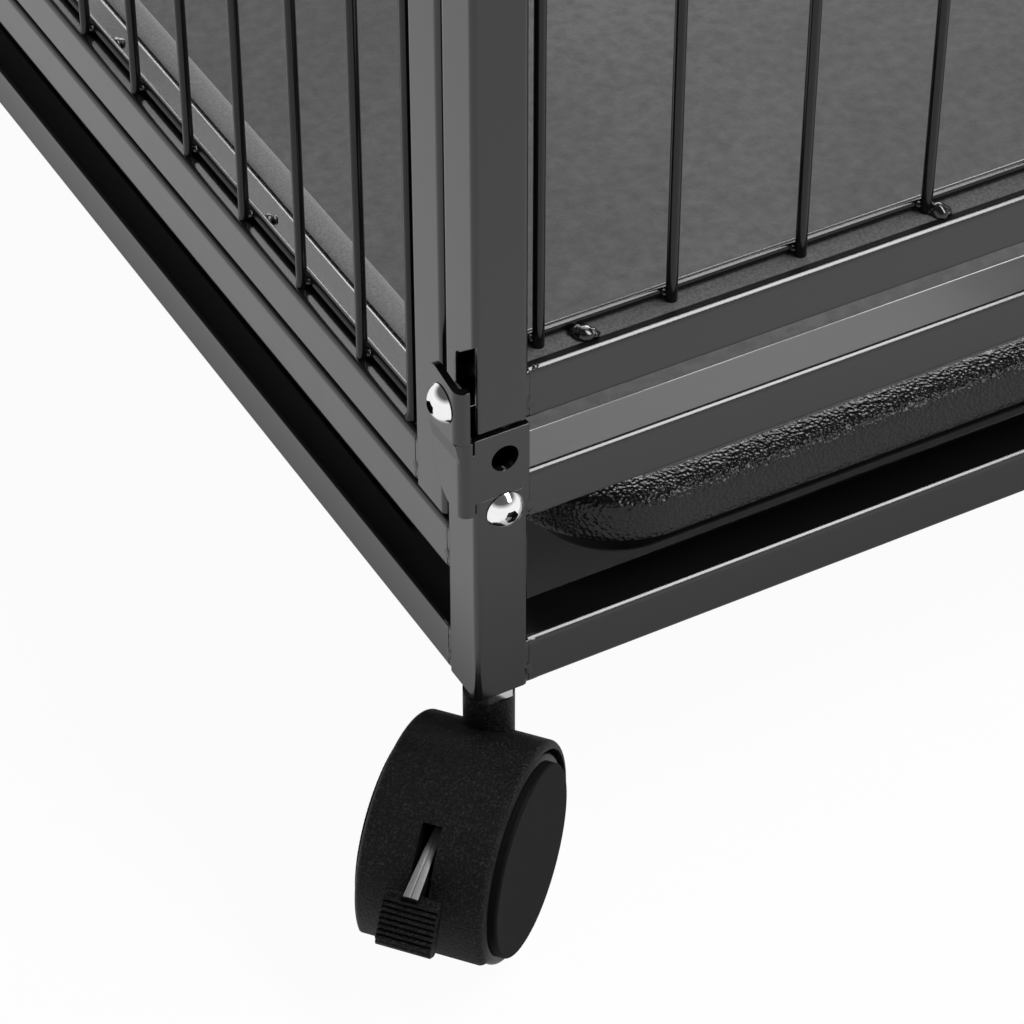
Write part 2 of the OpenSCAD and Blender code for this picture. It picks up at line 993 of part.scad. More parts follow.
// Casters, drawn with the stem's axis at the origin on the floor and the wheels trailing along +x
module at_caster(sx, sy) {
    turn = atan2(sy * sin(heading), sx * cos(heading));
    translate([sx * (half_w - tube / 2), sy * (half_l - tube / 2), 0])
        rotate([0, 0, turn])
            children();
}

module across(x, z, d, length) {
    translate([x, 0, z])
        rotate([90, 0, 0])
            cylinder(d = d, h = length, center = true);
}

// Half section of the hood's drum, with rounded rims: x runs out from the axle, y along it
module hood_profile() {
    translate([0, -hood_w / 2])
        square([hood_r - hood_round, hood_w]);
    translate([0, -hood_w / 2 + hood_round])
        square([hood_r, hood_w - 2 * hood_round]);
    for (s = both)
        translate([hood_r - hood_round, s * (hood_w / 2 - hood_round)])
            circle(hood_round);
}

module caster_hood(sx, sy) {
    well_w = (hood_w - web_t) / 2 + eps;
    neck_top = base_z - hex_h - neck_gap;
    slot_low = 6;
    slot_high = 33;
    color(caster_black)
        at_caster(sx, sy)
            difference() {
                union() {
                    intersection() {
                        translate([trail, 0, axle_z])
                            rotate([90, 0, 0])
                                rotate_extrude()
                                    hood_profile();
                        translate([trail - 2 * hood_r, -hood_w, hood_low])
                            cube([4 * hood_r, 2 * hood_w, 4 * hood_r]);
                    }
                    translate([0, 0, axle_z])
                        cylinder(d = neck_d, h = neck_top - axle_z);
                }
                for (s = both)
                    translate([0, s * (web_t + well_w) / 2, 0])
                        across(trail, axle_z, 2 * well_r, well_w);
                translate([0, 0, stem_low - neck_gap])
                    cylinder(d = stem_d + 2 * joint_gap, h = base_z);
                across(trail, axle_z, axle_d + 2 * joint_gap, 2 * web_t);
                across(trail + lever_at[0], axle_z + lever_at[1], lever_pin_d + 2 * joint_gap, web_t - 3);
                translate([trail + lever_at[0] - 7, -lever_w / 2 - 0.6, axle_z + slot_low])
                    cube([2 * hood_r, lever_w + 1.2, slot_high - slot_low]);
            }
}

module wheel_profile() {
    tread_w = tread_out - wheel_in;
    difference() {
        union() {
            translate([0, wheel_in])
                square([wheel_r - tread_edge, tread_w]);
            translate([0, wheel_in + tread_edge])
                square([wheel_r, tread_w - 2 * tread_edge]);
            for (w = [wheel_in + tread_edge, tread_out - tread_edge])
                translate([wheel_r - tread_edge, w])
                    circle(tread_edge);
            square([cover_r - 1, cover_out]);
            square([cover_r, cover_out - 1]);
            translate([cover_r - 1, cover_out - 1])
                circle(1);
        }
        translate([0, -eps])
            square([axle_d / 2, cover_out - 3]);
        square([wheel_r, wheel_in]);
    }
}

module caster_wheels(sx, sy) {
    color(caster_black)
        at_caster(sx, sy)
            for (s = [-90, 90])
                translate([trail, 0, axle_z])
                    rotate([s, 0, 0])
                        rotate_extrude()
                            wheel_profile();
}

module caster_axle(sx, sy) {
    color(steel)
        at_caster(sx, sy)
            across(trail, axle_z, axle_d, 2 * (cover_out - 3) - 2 * eps);
}

// Lever on its pin, with the ribbed pedal at its foot
module caster_brake(sx, sy) {
    rib_step = (pedal_l - 4) / rib_count;
    ribs = [for (i = [0 : rib_count - 1], p = [[0, 0], [0.3, rib_h], [0.7, rib_h], [1, 0]])
        [2 + (i + p[0]) * rib_step, p[1]]];
    color(caster_black)
        at_caster(sx, sy)
            translate([trail, 0, axle_z])
                rotate([90, 0, 0]) {
                    linear_extrude(lever_w, center = true)
                        translate(lever_at) {
                            circle(d = lever_h + 2);
                            rotate(lever_turn)
                                translate([0, -lever_h / 2])
                                    square([lever_l, lever_h]);
                        }
                    translate([lever_at[0], lever_at[1], 0])
                        cylinder(d = lever_pin_d, h = web_t - 4, center = true);
                    translate([pedal_at[0], pedal_at[1], 0])
                        linear_extrude(pedal_w, center = true)
                            rotate(pedal_turn)
                                polygon(concat(
                                    [[1.5, -3.5], [0, -2], [0, -0.5], [0.5, 0]],
                                    ribs,
                                    [[pedal_l - 1, 0], [pedal_l, -1], [pedal_l, -5], [pedal_l - 1.5, -6.5]]));
                }
}

legs();
hinge_brackets();
lower_rails();
upper_rails();
tray_runners();
caster_stems();
stem_sockets();
tray();
tray_rims();
tray_corners();
side_frame(1, low_side_z);  // right_side_frame
side_bars(1, low_side_z);  // right_side_bars
side_screws(1, side_pivot_z);  // right_pivot_screws
side_inserts(1, side_pivot_z);  // right_pivot_inserts
side_frame(-1, high_side_z);  // left_side_frame
side_bars(-1, high_side_z);  // left_side_bars
side_screws(-1, high_pivot_z);  // left_pivot_screws
side_inserts(-1, high_pivot_z);  // left_pivot_inserts
rear_frame();
rear_bars();
end_screws(1);  // rear_pivot_screws
end_inserts(1);  // rear_pivot_inserts
lid_hinge_brackets();
lid_hinge_pins();
front_frame();
front_bars();
end_screws(-1);  // front_pivot_screws
end_inserts(-1);  // front_pivot_inserts
door_hinge_brackets();
door_hinge_pins();
bolt_keepers();
lid_bolt_guides();
door_frame();
door_bars();
door_hinge_knuckles();
door_bolt_guides();
door_bolt(bolt_z[1]);  // upper_door_bolt
door_bolt(bolt_z[0]);  // lower_door_bolt
lid_frame();
lid_bars();
lid_hinge_knuckles();
lid_bolt_keepers();
lid_bolt(1);  // right_lid_bolt
lid_bolt(-1);  // left_lid_bolt
caster_hood(1, 1);  // rear_right_hood
caster_wheels(1, 1);  // rear_right_wheels
caster_axle(1, 1);  // rear_right_axle
caster_brake(1, 1);  // rear_right_brake
caster_hood(-1, 1);  // rear_left_hood
caster_wheels(-1, 1);  // rear_left_wheels
caster_axle(-1, 1);  // rear_left_axle
caster_brake(-1, 1);  // rear_left_brake
caster_hood(1, -1);  // front_right_hood
caster_wheels(1, -1);  // front_right_wheels
caster_axle(1, -1);  // front_right_axle
caster_brake(1, -1);  // front_right_brake
caster_hood(-1, -1);  // front_left_hood
caster_wheels(-1, -1);  // front_left_wheels
caster_axle(-1, -1);  // front_left_axle
caster_brake(-1, -1);  // front_left_brake
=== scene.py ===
"""Looks of the folding dog crate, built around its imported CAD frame. Lengths are in metres."""
import math
import random

import bmesh
import bpy
from mathutils import Matrix, Vector, noise


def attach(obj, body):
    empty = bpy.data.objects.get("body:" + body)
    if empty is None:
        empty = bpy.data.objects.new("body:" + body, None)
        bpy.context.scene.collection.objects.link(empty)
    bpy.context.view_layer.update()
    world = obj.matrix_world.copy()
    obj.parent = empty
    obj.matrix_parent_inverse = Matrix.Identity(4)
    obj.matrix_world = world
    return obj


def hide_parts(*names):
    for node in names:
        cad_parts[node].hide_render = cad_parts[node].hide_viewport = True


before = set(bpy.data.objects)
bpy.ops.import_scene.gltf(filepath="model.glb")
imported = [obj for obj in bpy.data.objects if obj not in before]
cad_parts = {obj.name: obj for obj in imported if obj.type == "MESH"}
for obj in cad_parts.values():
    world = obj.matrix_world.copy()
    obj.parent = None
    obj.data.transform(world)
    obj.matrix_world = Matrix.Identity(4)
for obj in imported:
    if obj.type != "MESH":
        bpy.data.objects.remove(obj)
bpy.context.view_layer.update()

MM = 0.001
SEED = 7

# Sizes that part.scad states, repeated here because this script reads only the frame
HALF_W = 0.350
HALF_L = 0.540
BASE_Z = 0.094
TUBE = 0.020
TUBE_R = 0.0022
WIRE_R = 0.002
POST_GAP = 0.0016
LONG_RAIL_Z = BASE_Z + 0.045
END_RAIL_Z = BASE_Z + 0.0737
PLATE_LOW = BASE_Z + 0.088
LOW_SIDE_Z = BASE_Z + 0.0673
HIGH_SIDE_Z = BASE_Z + 0.0889
END_Z = BASE_Z + 0.1157
PANEL_TOP = BASE_Z + 0.648
SIDE_HALF = HALF_L - TUBE - POST_GAP
SIDE_BAR_DEPTH = 0.004
END_BAR_DEPTH = 0.0098
ROD_BEHIND = 0.0037
SIDE_BARS = 21
END_BARS = 14
END_WIRE_IN = 0.0086
END_BAR_EDGE = 0.0086
DOOR_HALF = 0.197
DOOR_LOW = END_Z + TUBE + 0.006
DOOR_HIGH = PANEL_TOP - TUBE - 0.003
WING_FROM = 0.220
SIDE_PIVOT_IN = 0.011
LOW_PIVOT_Z = BASE_Z + 0.0815
HIGH_PIVOT_Z = BASE_Z + 0.1031
PIVOT_Z = END_Z + TUBE / 2
SOCKET_R = 0.0027

AXLE_Z = 0.038
TRAIL = 0.026
HEADING = math.radians(40)
COVER_R = 0.0347
COVER_FROM = 0.0231
LEVER_AT = (0.020, 0.026)
PEDAL_AT = (0.045, 0.0175)
PEDAL_TURN = math.radians(-58)
PEDAL_L = 0.020
PEDAL_W = 0.020
CORNERS = {
    "rear_right": (1, 1),
    "rear_left": (-1, 1),
    "front_right": (1, -1),
    "front_left": (-1, -1),
}

# Camera of the photograph
CAM_AT = (0.789, 1.351, 0.971)
CAM_TURN = math.radians(60.84)
CAM_DOWN = math.radians(40.66)
CAM_LENS = 132.3
SENSOR = 36.0


def make_camera():
    data = bpy.data.cameras.new("camera")
    data.lens = CAM_LENS
    data.sensor_width = SENSOR
    data.clip_start = 0.01
    data.clip_end = 100.0
    cam = bpy.data.objects.new("camera", data)
    bpy.context.scene.collection.objects.link(cam)
    look = Vector((
        -math.cos(CAM_DOWN) * math.cos(CAM_TURN),
        -math.cos(CAM_DOWN) * math.sin(CAM_TURN),
        -math.sin(CAM_DOWN),
    ))
    cam.location = CAM_AT
    cam.rotation_mode = "QUATERNION"
    cam.rotation_quaternion = look.to_track_quat("-Z", "Y")
    bpy.context.scene.camera = cam


# Node helpers, with the sockets of a mix node that carry colours
MIX_FIRST = 6
MIX_SECOND = 7
MIX_OUT = 2


def mix_colours(tree, value, dark, light):
    made = tree.nodes.new("ShaderNodeMix")
    made.data_type = "RGBA"
    tree.links.new(value, made.inputs["Factor"])
    made.inputs[MIX_FIRST].default_value = (*dark, 1.0)
    made.inputs[MIX_SECOND].default_value = (*light, 1.0)
    return made.outputs[MIX_OUT]


def math_node(tree, kind, first, second):
    made = tree.nodes.new("ShaderNodeMath")
    made.operation = kind
    for socket, value in zip(made.inputs, (first, second)):
        if isinstance(value, bpy.types.NodeSocket):
            tree.links.new(value, socket)
        else:
            socket.default_value = value
    return made.outputs[0]


class Shader:
    """A new material with its Principled shader and a few helpers for wiring nodes."""

    def __init__(self, name):
        self.mat = bpy.data.materials.new(name)
        self.mat.use_nodes = True
        self.tree = self.mat.node_tree
        self.bsdf = self.tree.nodes["Principled BSDF"]
        self.coords = self.tree.nodes.new("ShaderNodeTexCoord").outputs["Object"]

    def node(self, kind, **inputs):
        made = self.tree.nodes.new(kind)
        for key, value in inputs.items():
            socket = made.inputs[key.replace("_", " ")]
            if isinstance(value, bpy.types.NodeSocket):
                self.tree.links.new(value, socket)
            else:
                socket.default_value = value
        return made

    def stretched(self, scale):
        """Object coordinates scaled along each axis."""
        return self.node("ShaderNodeMapping", Vector=self.coords, Scale=scale).outputs["Vector"]

    def noise(self, scale, detail=2.0, roughness=0.5, coords=None):
        made = self.node(
            "ShaderNodeTexNoise",
            Vector=coords or self.coords,
            Scale=scale,
            Detail=detail,
            Roughness=roughness,
        )
        return made.outputs["Fac"]

    def cells(self, scale, smooth=0.6):
        made = self.tree.nodes.new("ShaderNodeTexVoronoi")
        made.feature = "SMOOTH_F1"
        self.tree.links.new(self.coords, made.inputs["Vector"])
        made.inputs["Scale"].default_value = scale
        made.inputs["Smoothness"].default_value = smooth
        return made.outputs["Distance"]

    def ramp(self, value, low, high, start=0.0, end=1.0):
        """Maps start..end to low..high."""
        made = self.node(
            "ShaderNodeMapRange", Value=value, From_Min=start, From_Max=end, To_Min=low, To_Max=high
        )
        return made.outputs["Result"]

    def colours(self, value, dark, light):
        return mix_colours(self.tree, value, dark, light)

    def bump(self, height, distance, strength=1.0, under=None):
        made = self.node("ShaderNodeBump", Height=height, Distance=distance, Strength=strength)
        if under is not None:
            self.tree.links.new(under, made.inputs["Normal"])
        return made.outputs["Normal"]

    def soft_edges(self, radius):
        """Normals rounded over sharp edges, as a coat of paint rounds them."""
        return self.node("ShaderNodeBevel", Radius=radius).outputs["Normal"]

    def link(self, value, socket):
        self.tree.links.new(value, self.bsdf.inputs[socket])

    def set(self, socket, value):
        self.bsdf.inputs[socket].default_value = value


EDGE_R = 0.4 * MM
# Distances inside the end faces between which the painted dark line on the end rails' tops begins
DARK_LINE_EDGE = (4.4 * MM, 4.0 * MM)


def grey(value):
    return (value, value, value)


def paint_material():
    """Glossy black powder coat with a faint orange peel."""
    s = Shader("black_paint_coat")
    s.link(s.colours(s.noise(9.0, 3.0), grey(0.0035), grey(0.0065)), "Base Color")
    s.link(s.ramp(s.noise(60.0, 3.0), 0.12, 0.19), "Roughness")
    s.link(s.bump(s.noise(380.0, 2.0), 0.00004, 0.35, s.soft_edges(EDGE_R)), "Normal")
    s.set("Specular IOR Level", 0.62)
    return s.mat


def wire_material():
    """The same coat on the thin bars, a little less shiny."""
    s = Shader("black_wire_coat")
    s.link(s.colours(s.noise(30.0, 3.0), grey(0.003), grey(0.006)), "Base Color")
    s.link(s.ramp(s.noise(90.0, 2.0), 0.14, 0.22), "Roughness")
    s.link(s.bump(s.noise(500.0, 2.0), 0.00005, 0.4), "Normal")
    s.set("Specular IOR Level", 0.32)
    return s.mat


def floor_tray_material():
    """Matt, slightly fuzzy plastic of the tray's floor, mottled where it was drawn thin."""
    s = Shader("mottled_tray_floor")
    fuzz = s.noise(1300.0, 4.0, 0.65)
    mottle = s.noise(170.0, 4.0, 0.6)
    broad = s.noise(7.0, 3.0, 0.5)
    worn = s.ramp(math_node(s.tree, "MULTIPLY", mottle, broad), 0.0, 1.0, 0.12, 0.40)
    s.link(s.colours(worn, grey(0.046), grey(0.092)), "Base Color")
    s.link(s.ramp(fuzz, 0.62, 0.82), "Roughness")
    s.link(s.bump(fuzz, 0.0003, 0.6), "Normal")
    s.set("Specular IOR Level", 0.35)
    return s.mat


def tray_material():
    """Leathery pebble of the tray's rim, with shallow upright wrinkles."""
    s = Shader("pebbled_tray_rim")
    fine = s.noise(1400.0, 4.0, 0.6)
    wrinkle = s.noise(300.0, 3.0, 0.6, s.stretched((1.0, 1.0, 0.3)))
    pebble = s.cells(780.0)
    s.link(s.colours(s.noise(6.0, 4.0, 0.55), grey(0.008), grey(0.014)), "Base Color")
    s.link(s.ramp(fine, 0.20, 0.32), "Roughness")
    wavy = s.bump(wrinkle, 0.0006, 0.5)
    grained = s.bump(pebble, 0.0007, 0.8, wavy)
    s.link(s.bump(fine, 0.0001, 0.3, grained), "Normal")
    s.set("Specular IOR Level", 0.27)
    return s.mat


def rim_band_light_material():
    """Painted light on the top of the tray's rim along the long sides: a paler, fuzzy copy of the tray's
    plastic.
    """
    s = Shader("painted_light_rim_band")
    fuzz = s.noise(1100.0, 4.0, 0.65)
    s.link(s.colours(s.ramp(fuzz, 0.0, 1.0, 0.35, 0.65), grey(0.13), grey(0.21)), "Base Color")
    s.link(s.ramp(fuzz, 0.62, 0.82), "Roughness")
    s.link(s.bump(fuzz, 0.0002, 0.5), "Normal")
    s.set("Specular IOR Level", 0.25)
    return s.mat


def rail_top_shade_material():
    """Painted shade on top of the lower long rails, under the tray: a darker, duller copy of the black coat.
    """
    s = Shader("painted_shade_rail_top")
    grain = s.noise(500.0, 3.0, 0.6)
    s.link(s.colours(grain, grey(0.0015), grey(0.003)), "Base Color")
    s.link(s.ramp(grain, 0.5, 0.7), "Roughness")
    s.link(s.bump(grain, 0.0001, 0.3), "Normal")
    s.set("Specular IOR Level", 0.06)
    return s.mat


def rail_top_sheen_material():
    """Painted sheen on top of the end panels' lower rails: a pale grey over their real sandy grain, with a
    painted dark line along the outer edge.
    """
    s = Shader("painted_sheen_rail_top")
    grain = s.noise(1200.0, 4.0, 0.65)
    split = s.node("ShaderNodeSeparateXYZ", Vector=s.coords)
    out = math_node(s.tree, "ABSOLUTE", split.outputs["Y"], 0.0)
    # painted dark line: the colour goes to black near the outer face
    behind = s.ramp(out, 1.0, 0.0, HALF_L - DARK_LINE_EDGE[0], HALF_L - DARK_LINE_EDGE[1])
    grain_and_painted_sheen = math_node(s.tree, "MULTIPLY", s.ramp(grain, 0.5, 1.0, 0.35, 0.65), behind)
    s.link(s.colours(grain_and_painted_sheen, grey(0.002), grey(0.13)), "Base Color")
    s.link(s.ramp(grain, 0.55, 0.75), "Roughness")
    s.link(s.bump(grain, 0.0002, 0.4), "Normal")
    s.set("Specular IOR Level", 0.1)
    return s.mat


def tray_back_shade_material():
    """Painted shade on the back of the tray's moulding, the wall's outer face under its rim: a darker, duller
    copy of the rim's plastic.
    """
    s = Shader("painted_shade_tray_back")
    grain = s.noise(700.0, 3.0, 0.6)
    s.link(s.colours(grain, grey(0.002), grey(0.004)), "Base Color")
    s.link(s.ramp(grain, 0.55, 0.75), "Roughness")
    s.link(s.bump(grain, 0.0002, 0.4), "Normal")
    s.set("Specular IOR Level", 0.1)
    return s.mat


def chrome_material():
    """Bright plate of the screws, pins, stems and bolts."""
    s = Shader("bright_steel_plate")
    s.set("Metallic", 1.0)
    s.link(s.colours(s.noise(300.0, 3.0), grey(0.84), grey(0.93)), "Base Color")
    s.link(s.ramp(s.noise(500.0, 3.0), 0.07, 0.15), "Roughness")
    return s.mat


def plated_material():
    """Dull plate of the threaded inserts and sockets."""
    s = Shader("plated_steel_dull")
    s.set("Metallic", 1.0)
    s.link(s.colours(s.noise(200.0, 3.0), grey(0.46), grey(0.60)), "Base Color")
    s.link(s.ramp(s.noise(400.0, 3.0), 0.25, 0.38), "Roughness")
    return s.mat


def caster_material():
    """Nylon with a fine spark-eroded grain; the paler flecks in its colour are painted glints of the grain's
    sparkle.
    """
    s = Shader("caster_nylon")
    grain = s.noise(1150.0, 3.0, 0.6)
    # painted glints: pale flecks where the grain is high
    s.link(s.colours(s.ramp(grain, 0.0, 1.0, 0.50, 0.72), grey(0.002), grey(0.034)), "Base Color")
    s.link(s.ramp(grain, 0.26, 0.42), "Roughness")
    s.link(s.bump(grain, 0.0009, 1.0), "Normal")
    s.set("Specular IOR Level", 0.13)
    return s.mat


def tread_material():
    """Smooth, shinier plastic of the wheels' treads and rims."""
    s = Shader("caster_wheel_tread")
    s.link(s.colours(s.noise(30.0, 3.0), grey(0.003), grey(0.006)), "Base Color")
    s.link(s.ramp(s.noise(260.0, 3.0), 0.20, 0.30), "Roughness")
    s.link(s.bump(s.noise(900.0, 2.0), 0.00006, 0.3), "Normal")
    s.set("Specular IOR Level", 0.2)
    return s.mat


def cover_material():
    """Finely grained, slightly paler plastic of the wheels' cover discs."""
    s = Shader("caster_wheel_cover")
    grain = s.noise(1500.0, 3.0, 0.6)
    s.link(s.colours(s.noise(30.0, 3.0), grey(0.005), grey(0.008)), "Base Color")
    s.link(s.ramp(grain, 0.50, 0.64), "Roughness")
    s.link(s.bump(grain, 0.00025, 0.7), "Normal")
    s.set("Specular IOR Level", 0.05)
    return s.mat


def pin_material():
    """Pale satin coat of the pivots' collars."""
    s = Shader("satin_zinc_collar")
    s.link(s.colours(s.noise(600.0, 3.0), grey(0.84), grey(0.94)), "Base Color")
    s.link(s.ramp(s.noise(800.0, 3.0), 0.30, 0.42), "Roughness")
    return s.mat


def socket_shade_material():
    """Dark steel inside the screws' sockets: mostly painted shade of the recesses, with a little oil."""
    s = Shader("painted_shade_screw_socket")
    s.set("Metallic", 1.0)
    s.link(s.colours(s.noise(900.0, 3.0), grey(0.03), grey(0.10)), "Base Color")
    s.link(s.ramp(s.noise(700.0, 3.0), 0.30, 0.45), "Roughness")
    return s.mat


def lever_material():
    """Grey cast metal of the brake levers."""
    s = Shader("lever_zinc")
    s.link(s.colours(s.noise(700.0, 4.0), grey(0.20), grey(0.29)), "Base Color")
    s.link(s.ramp(s.noise(900.0, 3.0), 0.38, 0.52), "Roughness")
    s.link(s.bump(s.noise(1500.0, 3.0), 0.00015, 0.4), "Normal")
    return s.mat


PAINT = paint_material()
WIRE = wire_material()
TRAY_FLOOR = floor_tray_material()
TRAY = tray_material()
TRAY_BACK_SHADE = tray_back_shade_material()
RIM_BAND_LIGHT = rim_band_light_material()
RAIL_TOP_SHADE = rail_top_shade_material()
RAIL_TOP_SHEEN = rail_top_sheen_material()
CHROME = chrome_material()
PLATED = plated_material()
NYLON = caster_material()
TREAD = tread_material()
COVER = cover_material()
LEVER = lever_material()
SOCKET_SHADE = socket_shade_material()
PIN = pin_material()


def material_for(node):
    if node == "tray":
        return TRAY_FLOOR
    if node in ("tray_rims", "tray_corners"):
        return TRAY
    if node.endswith("_hood"):
        return NYLON
    if node.endswith("_wheels"):
        return TREAD
    if node.endswith("_bars"):
        return WIRE
    if node.endswith(("inserts", "sockets")):
        return PLATED
    if node.endswith(("screws", "pins", "stems", "_bolt", "_axle")):
        return CHROME
    return PAINT


def dress_nodes():
    for name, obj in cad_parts.items():
        obj.data.materials.clear()
        obj.data.materials.append(material_for(name))


def caster_matrix(sx, sy):
    """Places a shape drawn about the axle, with x towards the trailing side."""
    turn = math.atan2(sy * math.sin(HEADING), sx * math.cos(HEADING))
    stem = Vector((sx * (HALF_W - TUBE / 2), sy * (HALF_L - TUBE / 2), 0.0))
    return Matrix.Translation(stem) @ Matrix.Rotation(turn, 4, "Z") @ Matrix.Translation((TRAIL, 0, AXLE_Z))


def dress_wheels():
    """The faces of the cover discs take a material of their own."""
    for corner, (sx, sy) in CORNERS.items():
        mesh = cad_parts[f"{corner}_wheels"].data
        mesh.materials.append(COVER)
        back = caster_matrix(sx, sy).inverted()
        for face in mesh.polygons:
            at = back @ face.center
            if abs(at.y) > COVER_FROM and math.hypot(at.x, at.z) < COVER_R:
                face.material_index = 1


SOCKET_WALL_FACING = 0.6
SOCKET_FLOOR_SHARE = 0.5


def dress_sockets():
    """The walls and floors of the pivot screws' sockets take the painted shade of their recesses."""
    across = HALF_W - SIDE_PIVOT_IN
    axes = {
        "right_pivot_screws": (1, [(0, across), (2, LOW_PIVOT_Z)]),
        "left_pivot_screws": (1, [(0, -across), (2, HIGH_PIVOT_Z)]),
        "rear_pivot_screws": (0, [(1, HALF_L - TUBE / 2), (2, PIVOT_Z)]),
        "front_pivot_screws": (0, [(1, TUBE / 2 - HALF_L), (2, PIVOT_Z)]),
    }
    for node, (along, places) in axes.items():
        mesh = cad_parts[node].data
        mesh.materials.append(SOCKET_SHADE)
        face_at = HALF_W if along == 0 else HALF_L
        for face in mesh.polygons:
            off = math.hypot(*[face.center[axis] - place for axis, place in places])
            level = face.normal[along] * math.copysign(1, face.center[along])
            sunk = abs(face.center[along]) - face_at
            in_wall = level < SOCKET_WALL_FACING
            in_floor = off < SOCKET_FLOOR_SHARE * SOCKET_R
            # painted shade on the sunk walls and floors of each socket
            if off < SOCKET_R and sunk > 0 and (in_wall or in_floor):
                face.material_index = 1


UPWARDS = 0.35
FLAT_TOP = 0.95
LEVEL_WITHIN = 0.2 * MM


def dress_rail_tops():
    """The tops of the lower long rails take a painted shade. Those of the end panels' lower rails take a
    painted sheen with a painted dark line.
    """
    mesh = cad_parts["lower_rails"].data
    mesh.materials.append(RAIL_TOP_SHADE)
    for face in mesh.polygons:
        on_long = abs(face.center.x) > HALF_W - TUBE and abs(face.center.y) < HALF_L - TUBE
        # painted shade on the upward faces of the lower long rails
        if on_long and face.normal.z > UPWARDS:
            face.material_index = 1
    for node in ("rear_frame", "front_frame"):
        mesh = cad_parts[node].data
        mesh.materials.append(RAIL_TOP_SHEEN)
        for face in mesh.polygons:
            # painted sheen on the flat tops of the end panels' lower rails
            at_top = abs(face.center.z - END_Z - TUBE) < LEVEL_WITHIN
            if at_top and face.normal.z > FLAT_TOP:
                face.material_index = 1


# Mesh helpers
def mesh_piece(name, bm, material, body):
    mesh = bpy.data.meshes.new(name)
    bmesh.ops.recalc_face_normals(bm, faces=bm.faces)
    bm.to_mesh(mesh)
    bm.free()
    obj = bpy.data.objects.new(name, mesh)
    bpy.context.scene.collection.objects.link(obj)
    if not isinstance(material, (list, tuple)):
        material = [material]
    for one in material:
        mesh.materials.append(one)
    for face in mesh.polygons:
        face.use_smooth = True
    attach(obj, body)
    return obj


def soften(obj, width, segments, angle):
    bevel = obj.modifiers.new("soft_edges", "BEVEL")
    bevel.width = width
    bevel.segments = segments
    bevel.limit_method = "ANGLE"
    bevel.angle_limit = math.radians(angle)
    bevel.harden_normals = False


def extrude_profile(bm, points, width):
    """Adds a prism: points are (x, z), the width runs along y about 0."""
    near = [bm.verts.new((x, -width / 2, z)) for x, z in points]
    far = [bm.verts.new((x, width / 2, z)) for x, z in points]
    loft(bm, [near, far])


# Brakes, in mm: the pedal's two plain ends, one rib along its step, and the lever's cross sections
PEDAL_TOP = ((1.5, -3.5), (0.0, -2.0), (0.0, -0.5), (0.5, 0.0))
PEDAL_FOOT = ((-1.0, 0.0), (0.0, -1.0), (0.0, -5.0), (-1.5, -6.5))
PEDAL_PLAIN = 2.0
RIB_COUNT = 8
RIB_SHAPE = ((0.0, 0.0), (0.28, 1.0), (0.72, 1.0), (1.0, 0.0))
LEVER_ROWS = ((0.0, 1.9, 0.2), (0.35, 2.1, 2.2), (1.0, 2.8, 3.4))
LEVER_LOW = -3.4
LEVER_SHOULDER = 0.5
GROOVE_HALF = 0.35
GROOVE_DEEP = 0.5
LEVER_BARE = range(1, 5)
BRAKE_EDGE = 0.25 * MM


def brake_pieces():
    """Grey tapered lever with a groove and a black ribbed pedal, in place of each CAD brake."""
    for corner, (sx, sy) in CORNERS.items():
        place = caster_matrix(sx, sy)
        bm = bmesh.new()
        step = (PEDAL_L - 2 * PEDAL_PLAIN * MM) / RIB_COUNT
        outline = [(x * MM, z * MM) for x, z in PEDAL_TOP]
        for i in range(RIB_COUNT):
            for along, out in RIB_SHAPE:
                outline.append((PEDAL_PLAIN * MM + (i + along) * step, out * MM))
        outline += [(PEDAL_L + x * MM, z * MM) for x, z in PEDAL_FOOT]
        extrude_profile(bm, outline, PEDAL_W)
        tilt = Matrix.Rotation(-PEDAL_TURN, 4, "Y")
        bmesh.ops.transform(
            bm, matrix=Matrix.Translation((PEDAL_AT[0], 0, PEDAL_AT[1])) @ tilt, verts=bm.verts
        )
        lever_strip(bm)
        bmesh.ops.transform(bm, matrix=place, verts=bm.verts)
        body = f"{corner}_brake_lever"
        piece = mesh_piece(body, bm, [NYLON, LEVER], body)
        soften(piece, BRAKE_EDGE, 2, 35)
        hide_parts(f"{corner}_brake")


def lever_strip(bm):
    """Strip from the pivot to the pedal: narrow at the top, with a groove along its middle. Its upper faces
    are bare metal and its sides black."""
    start = Vector((LEVER_AT[0], 0, LEVER_AT[1]))
    end = Vector((PEDAL_AT[0] + 1.0 * MM, 0, PEDAL_AT[1] - 2.0 * MM))
    along = (end - start).normalized()
    up = Vector((-along.z, 0, along.x))
    rows = []
    for share, half, top in LEVER_ROWS:
        at = start + (end - start) * share
        points = [
            (-half, LEVER_LOW), (-half, top - LEVER_SHOULDER), (-GROOVE_HALF, top), (0.0, top - GROOVE_DEEP),
            (GROOVE_HALF, top), (half, top - LEVER_SHOULDER), (half, LEVER_LOW),
        ]
        rows.append([bm.verts.new(at + Vector((0, y * MM, 0)) + up * (h * MM)) for y, h in points])
    faces = loft(bm, rows)[2:]
    for i, face in enumerate(faces):
        face.material_index = int(i % len(rows[0]) in LEVER_BARE)


def loft(bm, rows):
    """Closed skin over rows of points, capped at both ends."""
    count = len(rows[0])
    faces = [bm.faces.new(rows[0]), bm.faces.new(rows[-1][::-1])]
    for a, b in zip(rows, rows[1:]):
        for i in range(count):
            j = (i + 1) % count
            faces.append(bm.faces.new((a[i], b[i], b[j], a[j])))
    return faces


